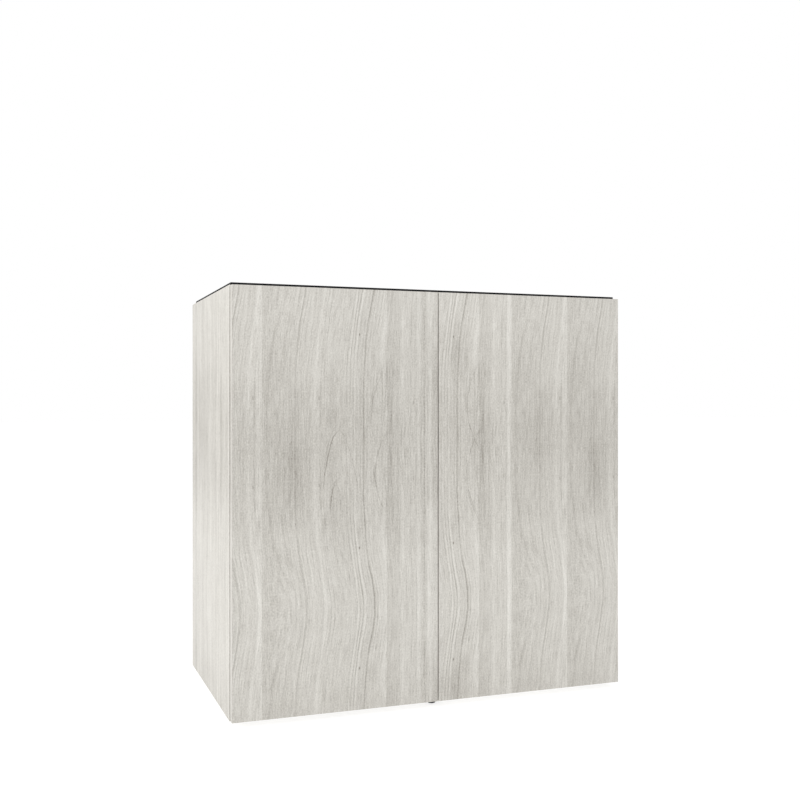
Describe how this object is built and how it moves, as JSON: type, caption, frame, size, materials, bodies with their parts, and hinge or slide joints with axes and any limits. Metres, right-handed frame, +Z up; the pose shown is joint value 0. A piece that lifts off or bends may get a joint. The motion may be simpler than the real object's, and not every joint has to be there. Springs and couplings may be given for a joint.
{
  "type": "aquarium stand cabinet",
  "caption": "Aquarium stand cabinet with full-overlay handleless doors on concealed cup hinges, push latches, shelves, levelling feet and a foam mat on top",
  "frame": {"origin": "on the floor under the middle of the cabinet", "axes": "+X to the right seen from the front, +Y to the back, +Z up; the doors face -Y"},
  "size_m": [0.9, 0.5, 0.905],
  "materials": {
    "laminate": "matt grey-beige wood-grain laminate, grain upright",
    "nickel_steel": "nickel-plated steel, satin",
    "black_plastic": "moulded black plastic",
    "grey_plastic": "moulded light grey plastic",
    "foam": "closed-cell black foam, dull"
  },
  "bodies": {
    "cabinet": {"top_panel": "laminate", "bottom_panel": "laminate", "back_panel": "laminate", "centre_divider": "laminate", "levelling_mat": "foam", "foot_front_left": "black_plastic", "foot_socket_front_left": "black_plastic", "foot_front_right": "black_plastic", "foot_socket_front_right": "black_plastic", "foot_front_centre": "black_plastic", "foot_socket_front_centre": "black_plastic", "foot_back_left": "black_plastic", "foot_socket_back_left": "black_plastic", "foot_back_right": "black_plastic", "foot_socket_back_right": "black_plastic", "foot_back_centre": "black_plastic", "foot_socket_back_centre": "black_plastic", "left_side_panel": "laminate", "left_shelf": "laminate", "left_shelf_pin_outer_front": "nickel_steel", "left_shelf_pin_inner_front": "nickel_steel", "left_shelf_pin_outer_back": "nickel_steel", "left_shelf_pin_inner_back": "nickel_steel", "left_upper_hinge_arm": "nickel_steel", "left_upper_hinge_plate": "nickel_steel", "left_lower_hinge_arm": "nickel_steel", "left_lower_hinge_plate": "nickel_steel", "left_latch_housing": "grey_plastic", "left_cable_grommet": "black_plastic", "right_side_panel": "laminate", "right_shelf": "laminate", "right_shelf_pin_outer_front": "nickel_steel", "right_shelf_pin_inner_front": "nickel_steel", "right_shelf_pin_outer_back": "nickel_steel", "right_shelf_pin_inner_back": "nickel_steel", "right_upper_hinge_arm": "nickel_steel", "right_upper_hinge_plate": "nickel_steel", "right_lower_hinge_arm": "nickel_steel", "right_lower_hinge_plate": "nickel_steel", "right_latch_housing": "grey_plastic", "right_cable_grommet": "black_plastic"},
    "left_hinge_links": {"left_upper_hinge_link": "nickel_steel", "left_lower_hinge_link": "nickel_steel"},
    "left_door": {"left_door": "laminate", "left_upper_hinge_cup": "nickel_steel", "left_lower_hinge_cup": "nickel_steel", "left_latch_strike": "nickel_steel"},
    "left_plunger": {"left_latch_plunger": "grey_plastic"},
    "right_hinge_links": {"right_upper_hinge_link": "nickel_steel", "right_lower_hinge_link": "nickel_steel"},
    "right_door": {"right_door": "laminate", "right_upper_hinge_cup": "nickel_steel", "right_lower_hinge_cup": "nickel_steel", "right_latch_strike": "nickel_steel"},
    "right_plunger": {"right_latch_plunger": "grey_plastic"}
  },
  "joints": [
    {"name": "left_link_turn", "type": "hinge", "parent": "cabinet", "child": "left_hinge_links", "pos_m": [-0.408, -0.228, 0.456], "axis": [0, 0, -1], "range_deg": [-40, 0]},
    {"name": "left_door_swing", "type": "hinge", "parent": "left_hinge_links", "child": "left_door", "pos_m": [-0.4347, -0.235, 0.456], "axis": [0, 0, -1], "range_deg": [0, 140]},
    {"name": "left_plunger_slide", "type": "slide", "parent": "cabinet", "child": "left_plunger", "axis": [0, -1, 0], "range_m": [0, 0.01]},
    {"name": "right_link_turn", "type": "hinge", "parent": "cabinet", "child": "right_hinge_links", "pos_m": [0.408, -0.228, 0.456], "axis": [0, 0, 1], "range_deg": [-40, 0]},
    {"name": "right_door_swing", "type": "hinge", "parent": "right_hinge_links", "child": "right_door", "pos_m": [0.4347, -0.235, 0.456], "axis": [0, 0, 1], "range_deg": [0, 140]},
    {"name": "right_plunger_slide", "type": "slide", "parent": "cabinet", "child": "right_plunger", "axis": [0, -1, 0], "range_m": [0, 0.01]}
  ],
  "couplings": [
    {"joint": "left_link_turn", "follows": "left_door_swing", "ratio": -0.2857},
    {"joint": "left_plunger_slide", "follows": "left_door_swing", "m_per_rad": 0.00409},
    {"joint": "right_link_turn", "follows": "right_door_swing", "ratio": -0.2857},
    {"joint": "right_plunger_slide", "follows": "right_door_swing", "m_per_rad": 0.00409}
  ]
}
